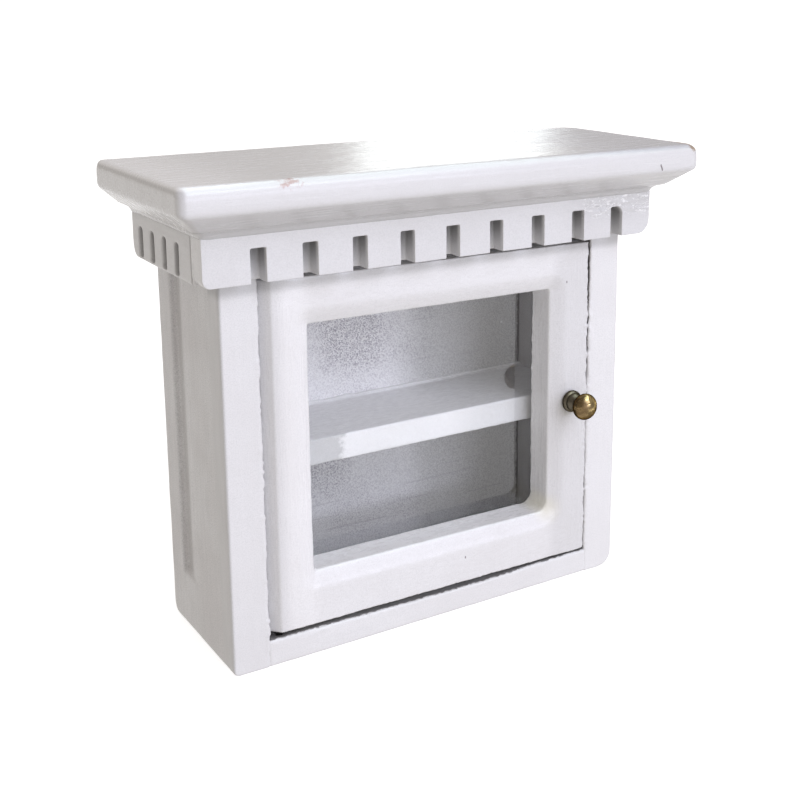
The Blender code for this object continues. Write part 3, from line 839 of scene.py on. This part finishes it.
def make_uprights():
    """Each side board and its face stile, carved as one so that the paint runs over the joint."""
    for side, name, foot in ((-1, "left", 0.8), (1, "right", 2.2)):
        low, high = box(f"side_{name}")
        inner, outer = sorted((low[0], high[0]), key=abs)
        joint = (box(f"face_stile_{name}")[1][1] + low[1]) / 2
        outline = rounded(rectangle(joint, high[1], low[2], high[2]), (0, 2.0, 0, 0))
        board = prism(outline, in_side_view, inner, outer)
        stile_low, stile_high = box(f"face_stile_{name}")
        outline = rectangle(stile_low[0], stile_high[0], stile_low[2], stile_high[2])
        stile = prism(outline, in_elevation, FRONT_Y, joint + 0.05)
        cuts = [sunk_panel(side, outer), foot_cut(side, outer, foot)]
        mesh = carved([board, stile], cuts, voxel=0.21, softening=4)
        mesh = ragged(weathered(mesh), {0: side * STILE_INNER, 1: FRONT_Y}, 0.6, 0.24)
        if side > 0:
            mesh = thick_edge(mesh)
        for node, outward, material in (("face_stile", 1, "stile"), ("side", -1, "side")):
            part = parted(mesh, [((0, joint, 0), (0, outward, 0))])
            node = f"{node}_{name}"
            finished(f"{node}_painted", part, "cabinet", node, MATERIALS[material])


def sunk_panel(side, outer):
    """The cut for the side's sunk panel, whose floor curves in towards its back edge."""
    front, back = FRONT_Y + 5.5, BACK_Y - 4.4
    levels = ((-0.85, back - 1.4, 8.6), (-0.38, back - 2.7, 8.2), (-0.12, back - 4.2, 7.9))
    rings = []
    for at, start, foot in (*levels, (0.04, back - 6.5, 7.6), (OVERSHOOT, front, 7.6)):
        outline = rectangle(start, back, foot, NOTCH_TOP)
        rings.append([in_side_view(a, b, outer + side * at) for a, b in outline])
    return rings


def foot_cut(side, outer, radius):
    """What is rounded off the long lower edge of a side."""
    outline = [(outer - side * radius, -OVERSHOOT)]
    for turn in quarter_turns():
        across = outer - side * radius * (1 - math.sin(turn))
        outline.append((across, radius * (1 - math.cos(turn))))
    outline.append((outer + side * OVERSHOOT, radius))
    outline.append((outer + side * OVERSHOOT, -OVERSHOOT))
    return prism(outline, in_elevation, FRONT_Y - OVERSHOOT, BACK_Y + OVERSHOOT)


def pin_hole(play, low, high):
    """The hole for a hinge pin, with this much play round it."""
    return prism(circle(HINGE_X, HINGE_Y, PIN_RADIUS + play), in_plan, low, high)


def make_top_rail():
    """The rail over the door, bored for the top hinge pin."""
    low, high = box("face_rail_top")
    outline = rectangle(low[0] - OVERLAP, high[0] + OVERLAP, low[2], high[2])
    board = prism(outline, in_elevation, low[1], high[1])
    hole = pin_hole(0.04, low[2] - OVERSHOOT, low[2] + 2.9)
    painted("face_rail_top", carved([board], [hole]), MATERIALS["rail"])


def worn_lip(mesh, top):
    """Wears down the middle of the sill's front edge, with thick paint left by the hinge."""
    points = mesh_points(mesh)
    x, y, z = points.T
    near = np.clip((17 - x) / 9, 0, 1) * np.clip(1.6 - (y - FRONT_Y), 0, 1)
    wear = 0.27 - 0.42 * np.clip(-x / 24, 0, 1)
    points[:, 2] -= wear * near * np.clip((z - top + 1.5) / 1.5, 0, 1)
    set_points(mesh, points)
    return mesh


def make_sill():
    """The bottom board. Its front reaches past the stiles' inner edges, as painted over."""
    low, high = box("bottom_board")
    reach = 25.3
    front = prism(rectangle(-reach, reach, low[1], low[1] + 5), in_plan, low[2], high[2])
    rear = prism(rectangle(low[0], high[0], low[1] + 3.3, high[1]), in_plan, low[2], high[2])
    hole = pin_hole(0.04, high[2] - 2.9, high[2] + OVERSHOOT)
    mesh = weathered(carved([front, rear], [hole], voxel=0.23))
    mesh = ragged(worn_lip(mesh, high[2]), {2: high[2] - 0.2, 1: FRONT_Y}, 0.7, 0.15)
    material = MATERIALS["sill"]
    finished("bottom_board_painted", mesh, "cabinet", "bottom_board", material)


def make_boards():
    """The ceiling, the back and the shelf, which has a bead of paint along its back edge."""
    finenesses = (("top_board", 0.4, 2), ("back_panel", 0.4, 2), ("shelf", 0.2, 3))
    for node, voxel, softening in finenesses:
        low, high = box(node)
        reach = SIDE_INNER + OVERLAP / 2
        boards = [prism(rectangle(-reach, reach, low[1], high[1]), in_plan, low[2], high[2])]
        if node == "shelf":
            bead = rectangle(high[1] - 0.42, high[1] + 0.3, high[2] - 0.3, high[2] + 0.36)
            boards.append(prism(bead, in_side_view, -reach, reach))
        mesh = carved(boards, voxel=voxel, softening=softening)
        if node == "shelf":
            mesh = ragged(mesh, {1: high[1]}, reach=0.6, height=0.16)
            mesh = ragged(mesh, {1: low[1]}, reach=0.4, height=0.06)
        material = MATERIALS["shelf" if node == "shelf" else "inside"]
        painted(node, mesh, material)


# ---------------------------------------------------------------- the door's pieces

MEMBER_WIDTHS = {"left": 6.45, "right": 6.05, "bottom": 6.9, "top": 6.25}
SAG = 0.0081


def window_edges():
    """The window's left, right, bottom and top edges."""
    return (
        DOOR_LOW[0] + MEMBER_WIDTHS["left"],
        DOOR_HIGH[0] - MEMBER_WIDTHS["right"],
        DOOR_LOW[2] + MEMBER_WIDTHS["bottom"],
        DOOR_HIGH[2] - MEMBER_WIDTHS["top"],
    )


def sagged(mesh):
    """The door hangs a little lower on its knob side."""
    points = mesh_points(mesh)
    points[:, 2] -= SAG * points[:, 0]
    set_points(mesh, points)
    return mesh


def window_cut():
    """The opening through the door: rolled front edges, a throat and the pane's rebate."""
    left, right, bottom, top = window_edges()
    roll_width, roll_depth, throat, rebate = 2.3, 1.0, 5.0, 1.0

    def ring(grow, depth, corners):
        outline = rectangle(left - grow, right + grow, bottom - grow, top + grow)
        return [(x, FRONT_Y + depth, z) for x, z in rounded(outline, [r + grow for r in corners])]

    corners = (0.1, 1.6, 0.3, 0.1)
    rings = [ring(roll_width, -OVERSHOOT, corners)]
    for turn in quarter_turns():
        share = math.sin(turn)
        rings.append(ring(roll_width * (1 - share), roll_depth * share**1.35, corners))
    rings.append(ring(0, throat, corners))
    rings.append(ring(rebate, throat, corners))
    rings.append(ring(rebate, throat + 2 * OVERSHOOT, corners))
    return rings


def hinge_edge_cut():
    """What is planed off the hinged edge's front, at a slant."""
    left, size = DOOR_LOW[0], 1.3
    outline = [
        (left - OVERSHOOT, FRONT_Y - OVERSHOOT),
        (left + size + OVERSHOOT, FRONT_Y - OVERSHOOT),
        (left - OVERSHOOT, FRONT_Y + size + OVERSHOOT),
    ]
    return prism(outline, in_plan, DOOR_LOW[2] - OVERSHOOT, DOOR_HIGH[2] + OVERSHOOT)


def make_door():
    """The frame is carved as one and parted at the mitres, so that the paint hides them."""
    outer = rectangle(DOOR_LOW[0], DOOR_HIGH[0], DOOR_LOW[2], DOOR_HIGH[2])
    left, right, bottom, top = window_edges()
    inner = rectangle(left, right, bottom, top)
    slab = prism(outer, in_elevation, FRONT_Y, FRONT_Y + 5.5)
    low_hole = pin_hole(0.08, DOOR_LOW[2] - OVERSHOOT, DOOR_LOW[2] + 4.3)
    top_hole = pin_hole(0.08, DOOR_HIGH[2] - 4.3, DOOR_HIGH[2] + OVERSHOOT)
    cuts = [window_cut(), hinge_edge_cut(), low_hole, top_hole, knob_hole()]
    mesh = sagged(weathered(carved([slab], cuts, voxel=0.17, softening=3), lumps=1.3))
    mesh = ragged(mesh, {0: DOOR_HIGH[0], 1: FRONT_Y}, 0.6, 0.2)
    mesh = ragged(mesh, {2: DOOR_LOW[2], 1: FRONT_Y}, 0.6, 0.1)
    for axis, at in ((0, right), (2, top)):
        mesh = ragged(mesh, {axis: at, 1: FRONT_Y + 4.9}, reach=0.7, height=0.12)
    members = (
        ("door_rail_bottom", "door_across"),
        ("door_stile_knob", "door_upright"),
        ("door_rail_top", "door_across"),
        ("door_stile_hinge", "door_upright"),
    )
    for i, (node, material) in enumerate(members):
        cuts = [mitre(outer[i], inner[i], -1), mitre(outer[(i + 1) % 4], inner[(i + 1) % 4], 1)]
        part = parted(mesh, cuts)
        finished(f"{node}_painted", part, "door", node, MATERIALS[material])


def mitre(outer, inner, way):
    """(point, outward direction) of the cut through a corner of the frame."""
    x, z = direction(outer, inner)
    return (outer[0], 0, outer[1] - SAG * outer[0]), (way * z, 0, -way * x)


def knob_hole():
    """The hole for the knob's spigot."""
    outline = circle(KNOB_MIDDLE[0], KNOB_MIDDLE[2], 0.58)
    return prism(outline, in_elevation, FRONT_Y - OVERSHOOT, KNOB_HIGH[1] + 0.3)


def make_pane():
    """The clear sheet, with its edges bevelled a little. It sags with the door."""
    low, high = box("door_pane")
    rings = []
    for depth, inset in ((0, 0.08), (0.08, 0), (0.34, 0), (0.42, 0.08)):
        outline = rectangle(low[0] + inset, high[0] - inset, low[2] + inset, high[2] - inset)
        outline = rounded(outline, (0.3,) * 4)
        rings.append([(x, low[1] + depth, z) for x, z in outline])
    pane = loose_object("pane", [rings])
    mesh = sagged(pane.data)
    bpy.data.objects.remove(pane)
    clear = MATERIALS["clear"]
    finished("door_pane_sheet", mesh, "door", "door_pane", clear, smooth=False)


def knob_profile():
    """(radius, distance in front of the door) from the spigot's end to the head's tip."""
    points = [(0.45, -2.9), (0.5, -2.8), (0.5, 0.1)]
    points += [(1.40, 0.10), (1.50, 0.14), (1.55, 0.26), (1.55, 0.55), (1.48, 0.68)]
    points += [(1.28, 0.72), (1.25, 0.78), (1.30, 0.95), (1.28, 1.12), (1.15, 1.28)]
    points += [(0.98, 1.45), (0.86, 1.65), (0.81, 1.85), (0.85, 2.05)]
    start = math.radians(33)
    steps = 3 * ARC_STEPS
    for step in range(steps):
        turn = start + (math.pi - start) * step / steps
        points.append((1.87 * math.sin(turn), 3.35 - 1.34 * math.cos(turn)))
    return points


def make_knob():
    """The knob and its spigot, turned in one."""
    rings = []
    for radius, proud in knob_profile():
        outline = circle(KNOB_MIDDLE[0], KNOB_MIDDLE[2], radius, 64)
        rings.append([(x, FRONT_Y - proud, z) for x, z in outline])
    knob = loose_object("knob_turned", [rings])
    mesh = knob.data
    bpy.data.objects.remove(knob)
    finished("knob_turned", mesh, "door", "knob", MATERIALS["brass"])


def make_pins():
    """The two hinge pins, with bevelled ends."""
    bevel = 0.1
    for node in ("hinge_pin_top", "hinge_pin_bottom"):
        low, high = box(node)
        levels = (
            (PIN_RADIUS - bevel, low[2]),
            (PIN_RADIUS, low[2] + bevel),
            (PIN_RADIUS, high[2] - bevel),
            (PIN_RADIUS - bevel, high[2]),
        )
        rings = []
        for radius, height in levels:
            rings.append([(x, y, height) for x, y in circle(HINGE_X, HINGE_Y, radius)])
        pin = loose_object(node, [rings])
        mesh = pin.data
        bpy.data.objects.remove(pin)
        finished(f"{node}_wire", mesh, "cabinet", node, MATERIALS["wire"])


make_cornice()
make_frieze()
make_uprights()
make_top_rail()
make_sill()
make_boards()
make_door()
make_pane()
make_knob()
make_pins()


# ---------------------------------------------------------------- floor, light and camera

# The lights, the floor and the camera are placed in metres.
MIDDLE_HEIGHT = 0.03


def facing(location, target):
    """The turn that points an object's -Z from location at target."""
    return (Vector(target) - Vector(location)).to_track_quat("-Z", "Y").to_euler()


def area_light(name, location, size, power, colour):
    """A soft light that points at the cupboard and isn't itself seen."""
    data = bpy.data.lights.new(name, "AREA")
    data.shape = "RECTANGLE"
    data.size, data.size_y = size
    data.energy = power
    data.color = colour
    lamp = bpy.data.objects.new(name, data)
    lamp.location = location
    lamp.rotation_euler = facing(location, (0, 0, MIDDLE_HEIGHT))
    lamp.visible_camera = False
    bpy.context.scene.collection.objects.link(lamp)
    return lamp


def from_front(turn, rise, distance):
    """A place seen from the cupboard at this many degrees to the right of the front and up."""
    turn, rise = math.radians(turn), math.radians(rise)
    return (
        distance * math.sin(turn) * math.cos(rise),
        -distance * math.cos(turn) * math.cos(rise),
        distance * math.sin(rise) + MIDDLE_HEIGHT,
    )


def make_lights():
    """A broad key and a low fill in front, a window behind, and a sheen on the top from above."""
    area_light("key", from_front(20, 35, 1.0), (0.7, 0.7), 4.3, (0.81, 0.835, 1.0))
    area_light("low_fill", from_front(14, 6, 1.0), (0.8, 0.14), 2.9, (0.81, 0.835, 1.0))
    area_light("window_behind", from_front(147.5, 14, 2.0), (0.34, 0.8), 1.5, (0.93, 1.0, 1.0))
    overhead = area_light("overhead", (0.45, -0.2, 1.0), (0.8, 2.2), 20.0, (0.78, 0.97, 1.0))
    overhead.rotation_euler = (0, 0, 0)
    overhead.visible_diffuse = False


def make_world():
    """Even, slightly warm light from all round."""
    world = bpy.data.worlds.new("soft_room")
    world.use_nodes = True
    background = world.node_tree.nodes["Background"]
    background.inputs["Color"].default_value = (0.553, 0.522, 0.495, 1.0)
    background.inputs["Strength"].default_value = 1.0
    bpy.context.scene.world = world


def make_floor():
    """A wide pale floor."""
    g = Graph("pale_floor")
    tone = g.ramp(g.noise(g.add("TexCoord", out="Object"), 30.0, 3.0), 0.3, 0.7, 0.0, 1.0)
    colour = g.mix(tone, grey(0.86), grey(0.84))
    inputs = {
        "Base Color": colour,
        "Roughness": 0.9,
        "Emission Color": grey(1.0),
        "Emission Strength": 0.62,
    }
    material = g.finish(g.add("BsdfPrincipled", inputs))
    reach = 100.0
    data = bpy.data.meshes.new("floor")
    corners = [(x, y, 0.0) for x, y in rectangle(-reach, reach, -reach, reach)]
    data.from_pydata(corners, [], [(0, 1, 2, 3)])
    data.materials.append(material)
    floor = bpy.data.objects.new("floor", data)
    floor.visible_diffuse = False
    bpy.context.scene.collection.objects.link(floor)


def make_camera():
    """The camera stands in front to the left, above the slab's top."""
    data = bpy.data.cameras.new("camera")
    data.sensor_width = 36.0
    data.lens = 56.363
    data.shift_x, data.shift_y = -0.0735, -0.165
    data.clip_start, data.clip_end = 0.01, 400.0
    camera = bpy.data.objects.new("camera", data)
    camera.location = (-0.082541, -0.140393, 0.082806)
    camera.rotation_euler = [math.radians(a) for a in (90 - 12.248, 0.077, -32.618)]
    bpy.context.scene.collection.objects.link(camera)
    bpy.context.scene.camera = camera


make_lights()
make_world()
make_floor()
make_camera()
bpy.context.scene.view_settings.view_transform = "Standard"
